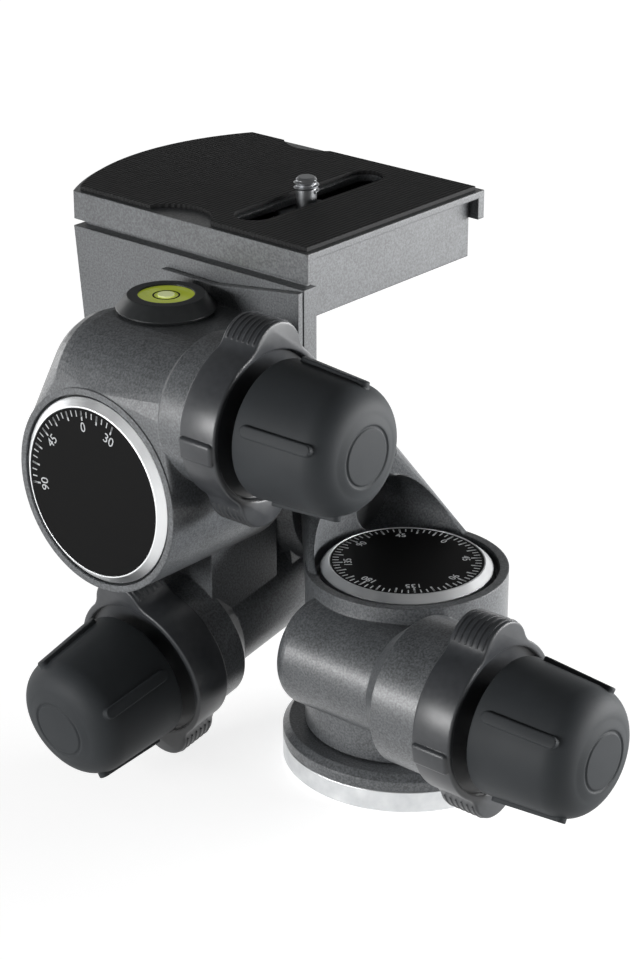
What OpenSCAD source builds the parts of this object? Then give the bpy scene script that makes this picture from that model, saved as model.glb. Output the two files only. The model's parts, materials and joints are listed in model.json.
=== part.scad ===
// Three-axis geared tripod head, built from three worm drives.
// Origin: centre of the base's underside. +Z up, knobs A and B point along +X,
// the roll dial and knob C face -Y.

/* [Base] */
// Diameter of the base disc
base_d = 60; // [58:0.5:62]
// Thickness of the bright base disc
disc_t = 6; // [5:0.5:6.5]
// Height of the gap under the pan housing
ring_top = 10; // [9.5:0.5:10]
// Tap-drill diameter of the tripod thread
thread_d = 8; // [7.9:0.1:8.2]

/* [Gear drive] */
// Distance between wheel axis and worm axis
centre_gap = 22; // [22:0.5:22]
// Teeth on each worm wheel
teeth = 48; // [48:1:48]
// Pitch radius of the worm
worm_r = 5.3; // [5.2:0.1:5.4]
// Half of the worm's thread depth
thread_e = 0.5; // [0.4:0.05:0.5]
// Face width of the wheel
wheel_w = 8; // [6:0.5:8]
// Radial clearance of every running fit
fit = 0.05; // [0.03:0.01:0.08]

/* [Drive places] */
// Height of the pan worm's plane above the base
pan_z = 34; // [34:0.5:35]
// Pan knob: distance from the wheel axis to the knob
pan_reach = 48; // [48:0.5:50]
// Roll axis, X
roll_x = -52; // [-52:0.5:-51]
// Roll worm plane, Y
roll_y = -35; // [-35:0.5:-35]
// Roll axis, Z
roll_z = 73; // [73:0.5:74]
// Roll knob: distance from the wheel axis to the knob
roll_reach = 42.6; // [42:0.2:43]
// Tilt worm plane, X
tilt_x = -48; // [-48:0.5:-48]
// Tilt axis, Y
tilt_y = 14.5; // [14.5:0.5:15]
// Tilt axis, Z
tilt_z = 57; // [57:0.5:58]
// Tilt knob: distance from the wheel axis to the knob
tilt_reach = 65.5; // [64:0.5:66]
// Downward slope of the tilt worm, degrees
worm_drop = 10.6; // [10:0.2:11]

/* [Housings] */
// Outer radius of the pan barrel
pan_r = 24.5; // [24:0.5:25]
// Outer radius of the roll barrel
roll_r = 25.2; // [25:0.1:25.5]
// Outer radius of the tilt barrel
tilt_r = 20.5; // [20.3:0.1:20.5]
// Outer radius of a worm tube
tube_r = 13.5; // [13:0.5:14]
// Radius of the flared ring at the mouth of a worm tube
ring_r = 18; // [17.6:0.2:18.4]
// Radius of a worm tube's bore
tube_bore = 9.2; // [9:0.1:9.4]

/* [Knobs and release collars] */
// Length of a knob
knob_l = 26; // [25:0.5:27]
// Radius of a knob at its base
knob_r = 16.5; // [16:0.1:17]
// Radius of a knob at its shoulder
knob_tip_r = 15.5; // [15:0.1:16]
// Rounding of a knob's end
knob_round = 7; // [6:0.5:8]
// Turn of the pan, tilt and roll knobs in the drawn pose, degrees
knob_turn = [0, 42, 72]; // [0:1:90]
// Thickness of a release collar
collar_t = 10.5; // [10:0.5:10.5]
// Radius of a release collar's disc
collar_r = 19.4; // [19:0.2:19.6]
// Reach of a release collar's wings
wing_r = 24.4; // [24:0.2:24.8]
// Turn of the wings of the tilt collar, degrees
tilt_wing_turn = 12; // [9:1:14]
// Turn of the wings of the pan and roll collars, degrees
wing_turn = [-3, -8]; // [-12:1:4]

/* [Platform] */
// Height of the plate's top
top_z = 128; // [128:0.5:130]
// Plate, left straight edge, X
plate_x0 = -99; // [-100:0.5:-98]
// Plate, right edge, X
plate_x1 = -22; // [-23:0.5:-21]
// Plate, front edge, Y
plate_y0 = -10.8; // [-10.8:0.1:-10.6]
// Plate width along Y
plate_w = 67; // [66:0.5:68]
// Bulge of the plate's curved end
plate_bulge = 10; // [9:0.5:10.5]
// Height of the plate's skirt
skirt_h = 8; // [7.5:0.5:8]
// Thickness of the bracket's flange
flange_t = 4.5; // [4:0.5:4.5]
// Diameter of the camera screw's thread
screw_d = 6.35; // [6.35:0.01:6.35]
// Length of that thread above the pad
screw_reach = 4.5; // [4:0.5:5]

/* [Hidden] */
$fn = 64;

wheel_r = centre_gap - worm_r;                  // pitch radius of a wheel
lead = 2 * PI * wheel_r / teeth;                // axial pitch of a worm
room_r = 18;                                    // wheel room in a housing
seat_r = 20.5;                                  // seat of a bearing plate
back_z = -23.5;                                 // joint face of a barrel, from the worm plane
rim_z = 17.3;                                   // front edge of a barrel
dial_z = 18.5;                                  // front edge of a bezel
seat_z = 9.5;                                   // rear face of a bearing plate
plate_t = 4;                                    // thickness of a bearing plate
journal_r = 8;                                  // thick end of an axle
neck_r = 6;                                     // thin end of an axle
shoulder_z = 4.2;                               // step between the two
neck_end = 15.2;                                // end of the thin part
dial_back = 14.4;                               // rear face of a dial
dial_t = 4;                                     // thickness of a dial
bush_r = 10.5;                                  // outside of the rear bush
shaft_r = 4;                                    // worm shaft
screw_head_r = 3.6;                             // head of a base screw
head_recess = 3;                                // depth of its counterbore
pilot_d = 3.3;                                  // its tapped hole
pan_bezel_r = 20.8;
roll_bezel_r = 23;
tilt_bezel_r = 17.6;
tilt_joint_z = -14.5;                           // joint face of the tilt barrel
arm_t = 8;                                      // thickness of the arm's hub
arm_hub_r = 15.5;
tube_end = -19;                                 // blind end of a worm tube, from the wheel axis
pan_tube_end = -12.6;
tube_round = 4;                                 // rounding of that end
cap_t = 1.2;                                    // thickness of an end cap
block_r = 17;                                   // radius of the roll block
block_round = 9;                                // rounding of its left end
block_x1 = 21.5;                                // right end of the roll block
chamber_l = 16;                                 // length of the worm's chamber in a sleeve
window_l = 23.4;                                // length of its window toward the wheel
gap = 2.5;                                      // knob base to collar
pan_ring_l = 13;
short_ring_l = 7.5;
flange_y0 = -11;
slot_y0 = -11.5;
slot_y1 = -6;
sheet_t = 2.5;                                  // thickness of the plate's top
tray_z1 = top_z - sheet_t - 0.2;                // bracket's tray, top and underside
tray_z0 = tray_z1 - 15.3;
wall = 3;
level_at = [-53.8, -25.1, 109.8];
level_h = 4.6;
slot_at = [plate_x1 - 28, plate_y0 + plate_w / 2 - 0.2];
slot_l = plate_w - 16;
screw_y = slot_at[1] - 1.5;
pin_r = 3;                                      // pivot of the plate clamp
lever_t = 4.5;
lever_l = 30;
lever_w = 7;

black = [0.07, 0.07, 0.08];
casting = [0.27, 0.28, 0.29];
rubber = [0.18, 0.19, 0.20];
bright = [0.82, 0.83, 0.85];
steel = [0.62, 0.63, 0.65];
brass = [0.78, 0.62, 0.32];

// ---- frames of the three drives: wheel axis +Z, knob along +X, worm at y = side * centre_gap
module pan_frame() {
    translate([0, 0, pan_z])
        children();
}

module roll_frame() {
    translate([roll_x, roll_y, roll_z])
        rotate([90, 0, 0])
            children();
}

module tilt_frame() {
    translate([tilt_x, tilt_y, tilt_z])
        rotate([90 + worm_drop, 0, 0])
            rotate([0, -90, 0])
                children();
}

// Children drawn along +Z are laid on the worm's axis, from x = x0
module on_worm(side, x0 = 0) {
    translate([x0, side * centre_gap, 0])
        rotate([0, 90, 0])
            children();
}

module ring_of(r_out, r_in, h) {
    difference() {
        cylinder(r = r_out, h = h);
        translate([0, 0, -1])
            cylinder(r = r_in, h = h + 2);
    }
}

// ---- parts that all three drives share
function gear_points() = [
    for (i = [0:teeth - 1], c = [[-0.34, -0.65], [-0.12, 0.25], [0.12, 0.25], [0.34, -0.65]])
        let (a = (i + c[0]) * 360 / teeth, r = wheel_r + c[1])
            [r * cos(a), r * sin(a)]
];

module worm_wheel() {
    difference() {
        translate([0, 0, -wheel_w / 2])
            linear_extrude(wheel_w)
                polygon(gear_points());
        translate([0, 0, -wheel_w])
            cylinder(r = journal_r, h = 2 * wheel_w);
    }
}

module worm(side) {
    turns = 6;
    difference() {
        on_worm(side)
            linear_extrude(turns * lead, center = true, twist = -360 * turns, slices = 12 * turns, $fn = 16)
                translate([0, side * thread_e])
                    circle(worm_r, $fn = 16);
        on_worm(side, -10)
            cylinder(r = shaft_r, h = 20);
    }
}

module worm_shaft(side, x_end, reach) {
    start = x_end + cap_t + 0.7;
    on_worm(side, start)
        cylinder(r = shaft_r, h = reach + 20 - start);
}

// Eccentric sleeve: a tube with a window where worm and wheel meet
module sleeve(side, x_end, reach) {
    sleeve_end = x_end + cap_t + 0.3;
    length = reach - gap - collar_t - sleeve_end;
    difference() {
        union() {
            on_worm(side, sleeve_end)
                cylinder(r = tube_bore - fit, h = length);
            on_worm(side, sleeve_end + length)
                cylinder(r = 7, h = collar_t);
        }
        on_worm(side, sleeve_end - 1)
            cylinder(r = shaft_r + fit, h = length + collar_t + 2);
        on_worm(side, -chamber_l / 2)
            cylinder(r = 6.5, h = chamber_l);
        translate([-window_l / 2, side * centre_gap, 0])
            rotate([-side * 17.5, 0, 0])
                translate([0, side > 0 ? -20 : 0, -12])
                    cube([window_l, 20, 24]);
    }
}

// Outline of a collar: a disc with a round lobe above and below, joined by hollow flanks
module collar_2d(fillet_r = 6, lobe_r = 8) {
    lobe_y = wing_r - lobe_r;
    big = collar_r + fillet_r;
    small = lobe_r + fillet_r;
    fy = (big * big - small * small + lobe_y * lobe_y) / (2 * lobe_y);
    fx = sqrt(big * big - fy * fy);
    disc_a = atan2(fy, fx);
    lobe_a = atan2(fy - lobe_y, fx);
    step = (disc_a - lobe_a) / 4;
    half = concat(
        arc(0, 0, collar_r, -disc_a, disc_a, 20),
        arc(fx, fy, fillet_r, 180 + disc_a - step, 180 + lobe_a + step, 2),
        arc(0, lobe_y, lobe_r, lobe_a, 180 - lobe_a, 16),
        arc(-fx, fy, fillet_r, -lobe_a - step, -disc_a + step, 2)
    );
    polygon(concat(half, -half));
}

module collar(side, reach, turn = 0) {
    difference() {
        on_worm(side, reach - gap - collar_t)
            rotate([0, 0, 90 + turn])
                linear_extrude(collar_t)
                    collar_2d();
        on_worm(side, reach - gap - collar_t - 1)
            cylinder(r = 7, h = collar_t + 2);
        on_worm(side, reach - gap - 2)
            cylinder(r = knob_r + 1.2, h = 5);
    }
}

function arc(cx, cy, r, a0, a1, n = 6) = [
    for (i = [0:n])
        let (a = a0 + (a1 - a0) * i / n)
            [cx + r * cos(a), cy + r * sin(a)]
];

module knob(side, reach, rib_turn) {
    difference() {
        on_worm(side, reach) {
            rotate_extrude()
                polygon(concat(
                    [[0, -2.2], [12, -2.2], [12, 0], [knob_r - 0.8, 0], [knob_r, 0.8]],
                    arc(knob_tip_r - knob_round, knob_l - 0.8 - knob_round, knob_round, 4, 84),
                    [[0, knob_l]]
                ));
            for (a = [0:90:270])
                rotate([0, 0, a + rib_turn])
                    translate([knob_r + 0.5, 0, 2.5])
                        rotate([0, -3.6, 0])
                            rib();
        }
        on_worm(side, reach - 5)
            cylinder(r = shaft_r, h = 25);
    }
}

// Raised bar with round ends, along +Z
module rib(w = 3, l = 17, h = 2) {
    translate([-h, 0, w / 2])
        rotate([0, 90, 0])
            cylinder(d = w, h = h);
    translate([-h, 0, l - w / 2])
        rotate([0, 90, 0])
            cylinder(d = w, h = h);
    translate([-h, -w / 2, w / 2])
        cube([h, w, l - w]);
}

// Worm tube with its flared mouth; the bore is cut by the housing
module worm_tube(side, x_end, reach, ring_l) {
    mouth = reach - gap - collar_t - 0.2;
    flare_l = 5;
    on_worm(side)
        rotate_extrude()
            polygon(concat(
                [[0, mouth], [0, x_end]],
                arc(tube_r - tube_round, x_end + tube_round, tube_round, -90, 0),
                [[tube_r, mouth]]
            ));
    on_worm(side, mouth - ring_l)
        cylinder(r = ring_r, h = ring_l);
    on_worm(side, mouth - ring_l - flare_l)
        cylinder(r1 = tube_r, r2 = ring_r, h = flare_l);
}

// The hollows of a barrel: wheel room, bearing seat, dial recess and rear bore
module barrel_hollows(seat, bezel_r, rear_z) {
    translate([0, 0, -9])
        cylinder(r = room_r, h = 30);
    translate([0, 0, seat_z])
        cylinder(r = seat, h = 20);
    translate([0, 0, seat_z + plate_t])
        cylinder(r = bezel_r + 0.6, h = 20);
    translate([0, 0, rear_z - 5])
        cylinder(r = bush_r, h = 30);
}

module worm_bore(side, x_end, reach) {
    on_worm(side, x_end)
        cylinder(r = tube_bore, h = reach - x_end);
}

module bearing_plate(seat) {
    translate([0, 0, seat_z])
        ring_of(seat, neck_r + 2.5, plate_t);
}

module rear_bush(rear_z) {
    translate([0, 0, rear_z + 0.3])
        ring_of(bush_r, journal_r + fit, -9.5 - rear_z);
}

module front_bush() {
    translate([0, 0, seat_z])
        ring_of(neck_r + 2.5, neck_r + fit, plate_t);
}

// Axle from z0: thick through the rear bush and wheel, thin through the bearing plate
module axle(z0) {
    translate([0, 0, z0])
        cylinder(r = journal_r, h = shoulder_z - z0);
    translate([0, 0, shoulder_z])
        cylinder(r = neck_r, h = neck_end - shoulder_z);
}

// Dial disc, seated on the axle's thin end, clear of the bezel
module dial(bezel_r) {
    difference() {
        translate([0, 0, dial_back])
            cylinder(r = bezel_r - 2.4, h = dial_t);
        translate([0, 0, dial_back - 1])
            cylinder(r = neck_r, h = neck_end - dial_back + 1);
    }
}

// Bright ring with a sloping outer face, seated on the bearing plate
module bezel(bezel_r) {
    difference() {
        translate([0, 0, seat_z + plate_t])
            rotate_extrude()
                polygon([
                    [bezel_r - 2.2, 0], [bezel_r, 0], [bezel_r, 3.4],
                    [bezel_r - 1.9, dial_z - seat_z - plate_t],
                    [bezel_r - 2.2, dial_z - seat_z - plate_t]
                ]);
    }
}

// Plug in the blind end of a worm tube
module end_cap(side, x_end) {
    on_worm(side, x_end)
        cylinder(r = tube_bore, h = cap_t);
    on_worm(side, x_end - 0.6)
        cylinder(r1 = tube_bore - 1.2, r2 = tube_bore - 0.4, h = 0.6);
}

// ---- base
module at_base_screws() {
    for (a = [0:120:240])
        rotate([0, 0, a])
            translate([20, 0, 0])
                children();
}

module base_disc() {
    color(bright)
        difference() {
            rotate_extrude()
                polygon([
                    [7, 0], [base_d / 2 - 0.8, 0], [base_d / 2, 0.8],
                    [base_d / 2, disc_t - 0.4], [base_d / 2 - 0.4, disc_t], [7, disc_t]
                ]);
            at_base_screws() {
                translate([0, 0, -1])
                    cylinder(d = 4.2, h = disc_t + 2);
                translate([0, 0, -1])
                    cylinder(r = screw_head_r + 0.3, h = head_recess + 1);
            }
        }
}

module thread_insert() {
    color(steel)
        difference() {
            cylinder(r = 7, h = ring_top);
            translate([0, 0, -1])
                cylinder(d = thread_d, h = 20);
        }
}

module base_ring() {
    color(casting)
        difference() {
            translate([0, 0, disc_t])
                rotate_extrude()
                    polygon([
                        [14, 0], [base_d / 2, 0], [base_d / 2, 2.4], [base_d / 2 - 1.6, ring_top - disc_t],
                        [14, ring_top - disc_t]
                    ]);
            at_base_screws()
                cylinder(d = pilot_d, h = ring_top - 1);
        }
}

module base_screws() {
    color(steel)
        at_base_screws()
            difference() {
                union() {
                    translate([0, 0, 0.5])
                        cylinder(r = screw_head_r, h = head_recess - 0.5);
                    cylinder(d = pilot_d, h = ring_top - 1.2);
                }
                cylinder(d = 3, h = 2, $fn = 6);
            }
}

module spindle() {
    color(steel)
        pan_frame() {
            axle(ring_top - pan_z);
            translate([0, 0, disc_t - pan_z])
                ring_of(14, 7, ring_top - disc_t);
        }
}

module pan_wheel() {
    color(brass)
        pan_frame()
            worm_wheel();
}

module pan_dial() {
    color(black)
        pan_frame()
            dial(pan_bezel_r);
}

// ---- pan head
module pan_arm() {
    hull() {
        tilt_frame()
            translate([0, 0, tilt_joint_z - 0.5 - arm_t])
                cylinder(r = arm_hub_r, h = arm_t, $fn = 32);
        intersection() {
            translate([0, 0, 36])
                cylinder(r = pan_r - 0.4, h = 15, $fn = 48);
            translate([-40, -19, 0])
                cube([40, 60, 80]);
        }
    }
}

module pan_housing() {
    color(casting)
        difference() {
            union() {
                pan_frame() {
                    translate([0, 0, back_z])
                        cylinder(r = pan_r, h = rim_z - back_z);
                    worm_tube(-1, pan_tube_end, pan_reach, pan_ring_l);
                }
                pan_arm();
            }
            pan_frame() {
                barrel_hollows(seat_r, pan_bezel_r, back_z);
                worm_bore(-1, pan_tube_end - 1, pan_reach);
                translate([0, 0, rim_z - 3])
                    cylinder(r = 22.3, h = 40);
            }
            tilt_frame()
                translate([0, 0, tilt_joint_z - 30])
                    cylinder(r = journal_r, h = 40);
        }
}

module pan_bezel() {
    color(bright)
        pan_frame()
            bezel(pan_bezel_r);
}

module pan_bearing_plate() {
    color(steel)
        pan_frame()
            bearing_plate(seat_r);
}

module pan_bushes() {
    color(brass)
        pan_frame() {
            rear_bush(back_z);
            front_bush();
        }
}

module pan_end_cap() {
    color(casting)
        pan_frame()
            end_cap(-1, pan_tube_end);
}

module tilt_axle() {
    color(steel)
        tilt_frame()
            axle(tilt_joint_z - 0.5 - arm_t);
}

module tilt_wheel() {
    color(brass)
        tilt_frame()
            worm_wheel();
}

module tilt_dial() {
    color(black)
        tilt_frame()
            dial(tilt_bezel_r);
}

// ---- drives
module pan_sleeve() {
    color(steel)
        pan_frame()
            sleeve(-1, pan_tube_end, pan_reach);
}

module pan_collar() {
    color(black)
        pan_frame()
            collar(-1, pan_reach, wing_turn[0]);
}

module pan_knob() {
    color(rubber)
        pan_frame()
            knob(-1, pan_reach, knob_turn[0]);
}

module pan_shaft() {
    color(steel)
        pan_frame()
            worm_shaft(-1, pan_tube_end, pan_reach);
}

module pan_worm() {
    color(steel)
        pan_frame()
            worm(-1);
}

module tilt_sleeve() {
    color(steel)
        tilt_frame()
            sleeve(-1, tube_end, tilt_reach);
}

module tilt_collar() {
    color(black)
        tilt_frame()
            collar(-1, tilt_reach, 90 + tilt_wing_turn);
}

module tilt_knob() {
    color(rubber)
        tilt_frame()
            knob(-1, tilt_reach, knob_turn[1]);
}

module tilt_shaft() {
    color(steel)
        tilt_frame()
            worm_shaft(-1, tube_end, tilt_reach);
}

module tilt_worm() {
    color(steel)
        tilt_frame()
            worm(-1);
}

module roll_sleeve() {
    color(steel)
        roll_frame()
            sleeve(1, tube_end, roll_reach);
}

module roll_collar() {
    color(black)
        roll_frame()
            collar(1, roll_reach, 90 + wing_turn[1]);
}

module roll_knob() {
    color(rubber)
        roll_frame()
            knob(1, roll_reach, knob_turn[2]);
}

module roll_shaft() {
    color(steel)
        roll_frame()
            worm_shaft(1, tube_end, roll_reach);
}

module roll_worm() {
    color(steel)
        roll_frame()
            worm(1);
}

// ---- tilt body: carries the roll and tilt drives
// Cast block round the roll tube, blended into the barrel, with a flat back
module roll_block() {
    axis_y = centre_gap - 1.5;
    hull() {
        translate([0, axis_y, 0])
            rotate([0, 90, 0])
                rotate_extrude($fn = 48)
                    polygon(concat(
                        [[0, block_x1], [0, tube_end - 1]],
                        arc(block_r - block_round, tube_end - 1 + block_round, block_round, -90, 0),
                        [[block_r, block_x1]]
                    ));
        translate([0, 0, -block_r])
            cylinder(r = roll_r - 0.2, h = 2 * block_r, $fn = 96);
        translate([-10, 0, back_z])
            cube([block_x1 + 10, axis_y + block_r - 1, 1]);
    }
}

// Wall behind the level, its top edge rising toward the knob
module rear_wall_2d() {
    polygon([
        [-70, 85], [-70, 111], [-67, 114.5], [-50, 114.3], [plate_x1 - 1, 118], [plate_x1 - 1, 88]
    ]);
}

module tilt_housing() {
    color(casting)
        difference() {
            union() {
                roll_frame() {
                    translate([0, 0, back_z])
                        cylinder(r = roll_r, h = rim_z - back_z);
                    worm_tube(1, tube_end, roll_reach, short_ring_l);
                    roll_block();
                }
                tilt_frame() {
                    translate([0, 0, tilt_joint_z + 5])
                        cylinder(r = tilt_r, h = rim_z - tilt_joint_z - 5);
                    translate([0, 0, tilt_joint_z])
                        cylinder(r1 = tilt_r - 2.5, r2 = tilt_r, h = 5);
                    worm_tube(-1, tube_end, tilt_reach, short_ring_l);
                    translate([tube_end, -centre_gap, -11])
                        cube([36, centre_gap, 22]);
                }
                translate([tilt_x - 12, -29, 28])
                    cube([23, 23.5, 30]);
                translate([0, slot_y0, 0])
                    rotate([90, 0, 0])
                        linear_extrude(1.5)
                            rear_wall_2d();
            }
            roll_frame() {
                barrel_hollows(seat_r, roll_bezel_r, back_z);
                worm_bore(1, tube_end - 1, roll_reach);
            }
            tilt_frame() {
                barrel_hollows(room_r, tilt_bezel_r - 0.2, tilt_joint_z);
                worm_bore(-1, tube_end - 1, tilt_reach);
            }
            tilt_frame()
                on_worm(-1, tilt_reach - gap - collar_t - 0.4)
                    cylinder(r = wing_r + 0.6, h = collar_t + 0.8);
            translate([roll_x, slot_y1, roll_z])
                rotate([90, 0, 0])
                    cylinder(r = 21.2, h = slot_y1 - slot_y0);
            translate([plate_x0 - plate_bulge, slot_y0, roll_z - 15])
                cube([-plate_x0 + plate_bulge, slot_y1 - slot_y0, top_z - roll_z + 15]);
            translate(level_at + [0, 0, -5])
                cylinder(r = 5, h = 10);
            translate(level_at + [0, 0, 0.5])
                cylinder(r = 12.4, h = 10);
        }
}

module roll_bezel() {
    color(bright)
        roll_frame()
            bezel(roll_bezel_r);
}

module tilt_bezel() {
    color(bright)
        tilt_frame()
            bezel(tilt_bezel_r);
}

module roll_bearing_plate() {
    color(steel)
        roll_frame()
            bearing_plate(seat_r);
}

module tilt_bearing_plate() {
    color(steel)
        tilt_frame()
            bearing_plate(room_r);
}

module roll_bushes() {
    color(brass)
        roll_frame() {
            rear_bush(back_z);
            front_bush();
        }
}

module tilt_bushes() {
    color(brass)
        tilt_frame() {
            rear_bush(tilt_joint_z);
            front_bush();
        }
}

module roll_end_cap() {
    color(casting)
        roll_frame()
            end_cap(1, tube_end);
}

module tilt_end_cap() {
    color(casting)
        tilt_frame()
            end_cap(-1, tube_end);
}

module level_body() {
    color(black)
        difference() {
            translate(level_at)
                rotate_extrude()
                    polygon([
                        [0, -5], [5, -5], [5, 0.5], [11.3, 0.5], [12.1, 1.4], [9.3, level_h], [0, level_h]
                    ]);
            translate(level_at + [0, 0, level_h - 3.6])
                cylinder(r = 6.8, h = 20);
        }
}

module level_vial() {
    color([0.72, 0.82, 0.2])
        translate(level_at + [0, 0, level_h - 3.6])
            cylinder(r = 6.8, h = 3.2);
}

module level_bubble() {
    color([0.9, 0.95, 0.6])
        translate(level_at + [0, 0, level_h - 0.4])
            cylinder(r = 2, h = 0.3);
}

// ---- platform
module flange_2d() {
    circle_at = [roll_x, roll_z];
    polygon([
        [plate_x0, tray_z1 - 7], [plate_x0 + 2.5, 94], circle_at + [-29.5, 11.5],
        circle_at + [-17, 10.5], circle_at + [15, -13.2], [plate_x1 - 1, 96], [plate_x1 - 1, tray_z1 - 7]
    ]);
    translate(circle_at)
        circle(20);
}

// Plate outline: straight on three sides, the left end a shallow arc
module plate_2d(inset = 0) {
    half = plate_w / 2;
    r = (half * half + plate_bulge * plate_bulge) / (2 * plate_bulge);
    intersection() {
        translate([plate_x0 - plate_bulge + r, plate_y0 + half])
            circle(r - inset, $fn = 180);
        translate([plate_x0 - plate_bulge, plate_y0 + inset])
            square([plate_x1 - plate_x0 + plate_bulge - inset, plate_w - 2 * inset]);
    }
}

module platform_bracket() {
    color(casting)
        difference() {
            union() {
                translate([0, flange_y0 + flange_t, 0])
                    rotate([90, 0, 0])
                        linear_extrude(flange_t)
                            flange_2d();
                translate([0, 0, tray_z0])
                    linear_extrude(tray_z1 - tray_z0)
                        plate_2d(2.7);
                translate([plate_x0 + 4, flange_y0 + 1, tray_z0 - 3])
                    cube([plate_x1 - plate_x0 - 8, 6.5, 5]);
            }
            translate([0, 0, tray_z0 + wall])
                linear_extrude(20)
                    plate_2d(2.7 + wall);
            translate([roll_x, 0, roll_z])
                rotate([90, 0, 0])
                    cylinder(r = journal_r, h = 30);
            for (a = [45:90:315])
                translate([roll_x + 14 * cos(a), 0, roll_z + 14 * sin(a)])
                    rotate([90, 0, 0])
                        cylinder(d = 3.2, h = 30);
            translate([plate_x0 - 5, slot_at[1], tray_z0 - 1])
                cylinder(r = pin_r, h = 20);
        }
}

module roll_axle() {
    color(steel)
        roll_frame()
            axle(-(flange_y0 + flange_t) + roll_y);
}

module roll_wheel() {
    color(brass)
        roll_frame()
            worm_wheel();
}

module roll_dial() {
    color(black)
        roll_frame()
            dial(roll_bezel_r);
}

module bracket_screws() {
    color(steel)
        for (a = [45:90:315])
            translate([roll_x + 14 * cos(a), flange_y0 + flange_t + 0.4, roll_z + 14 * sin(a)])
                rotate([90, 0, 0])
                    cylinder(d = 3.2, h = flange_t);
}

// ---- camera plate
module screw_slot(w) {
    translate([slot_at[0], slot_at[1] - (slot_l - w) / 2])
        circle(d = w);
    translate([slot_at[0], slot_at[1] + (slot_l - w) / 2])
        circle(d = w);
    translate([slot_at[0] - w / 2, slot_at[1] - (slot_l - w) / 2])
        square([w, slot_l - w]);
}

module camera_plate() {
    color(casting)
        difference() {
            translate([0, 0, top_z - skirt_h])
                linear_extrude(skirt_h - 0.8)
                    plate_2d();
            translate([0, 0, top_z - skirt_h - 1])
                linear_extrude(skirt_h - sheet_t + 1)
                    union() {
                        plate_2d(2.3);
                        translate([plate_x0 + 20, plate_y0 + 2.3])
                            square([plate_x1 - plate_x0, plate_w - 4.6]);
                    }
            translate([0, 0, top_z - 10])
                linear_extrude(20)
                    screw_slot(7);
        }
}

module plate_pad() {
    color(black)
        translate([0, 0, top_z - 0.8])
            linear_extrude(1)
                difference() {
                    plate_2d(1.6);
                    screw_slot(10);
                    translate([plate_x0 + 35, plate_y0 - 3])
                        circle(11);
                    translate([plate_x0 + 20, plate_y0 + plate_w + 6])
                        circle(11);
                }
}

module camera_screw() {
    color(steel)
        translate([slot_at[0], screw_y, 0]) {
            translate([0, 0, top_z - sheet_t - 0.3 - 3])
                cylinder(r = 8, h = 3);
            translate([0, 0, top_z - sheet_t - 1])
                cylinder(r = 2.6, h = sheet_t + 2);
            translate([0, 0, top_z + 0.7])
                cylinder(d = screw_d, h = screw_reach);
        }
}

// ---- plate clamp on the curved end
module clamp_pin() {
    color(steel)
        translate([plate_x0 - 5, slot_at[1], tray_z0 - 4])
            cylinder(r = pin_r, h = 12);
}

module clamp_lever() {
    color(black)
        translate([plate_x0 - 5, slot_at[1], tray_z0 - lever_t - 0.5])
            difference() {
                union() {
                    cylinder(r = 2 * pin_r, h = lever_t);
                    translate([-0.5 - lever_w / 2, 0, 0])
                        cube([lever_w, lever_l, lever_t]);
                    translate([-0.5, lever_l, 0])
                        cylinder(d = lever_w, h = lever_t);
                }
                translate([0, 0, -1])
                    cylinder(r = pin_r + fit, h = 20);
            }
}

base_disc();
thread_insert();
base_ring();
base_screws();
spindle();
pan_wheel();
pan_dial();
pan_housing();
pan_bezel();
pan_bearing_plate();
pan_bushes();
pan_end_cap();
tilt_axle();
tilt_wheel();
tilt_dial();
pan_sleeve();
pan_collar();
pan_knob();
pan_shaft();
pan_worm();
tilt_housing();
roll_bezel();
tilt_bezel();
roll_bearing_plate();
tilt_bearing_plate();
roll_bushes();
tilt_bushes();
roll_end_cap();
tilt_end_cap();
level_body();
level_vial();
level_bubble();
tilt_sleeve();
tilt_collar();
tilt_knob();
tilt_shaft();
tilt_worm();
roll_sleeve();
roll_collar();
roll_knob();
roll_shaft();
roll_worm();
platform_bracket();
roll_axle();
roll_wheel();
roll_dial();
bracket_screws();
camera_plate();
plate_pad();
camera_screw();
clamp_lever();
clamp_pin();
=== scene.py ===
# %% [markdown]
# # Dressing a three-axis geared tripod head
#
# The construction comes packed: housings, worm drives, knobs, plate and base are solids at
# their real size, in metres, with +Z up. This notebook gives each of them its finish and
# adds what is too fine for the construction: printed scales, grip ribs, a screw thread.
#
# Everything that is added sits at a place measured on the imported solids, and rides on the
# body that would carry it. Sizes that the solids can't give, such as those of a knob's
# profile, repeat the values that the construction was drawn from.

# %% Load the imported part
import json
import math

import bpy
from mathutils import Matrix, Vector


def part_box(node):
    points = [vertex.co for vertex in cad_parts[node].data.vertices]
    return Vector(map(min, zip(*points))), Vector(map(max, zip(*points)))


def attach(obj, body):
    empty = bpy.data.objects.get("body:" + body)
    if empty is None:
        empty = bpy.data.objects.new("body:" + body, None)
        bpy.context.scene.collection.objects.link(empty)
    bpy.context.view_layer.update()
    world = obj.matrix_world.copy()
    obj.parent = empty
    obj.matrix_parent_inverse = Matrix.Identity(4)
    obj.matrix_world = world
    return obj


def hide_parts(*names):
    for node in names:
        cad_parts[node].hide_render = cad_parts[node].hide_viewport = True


MM = 0.001      # Blender counts in metres, and this file mostly in millimetres

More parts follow.
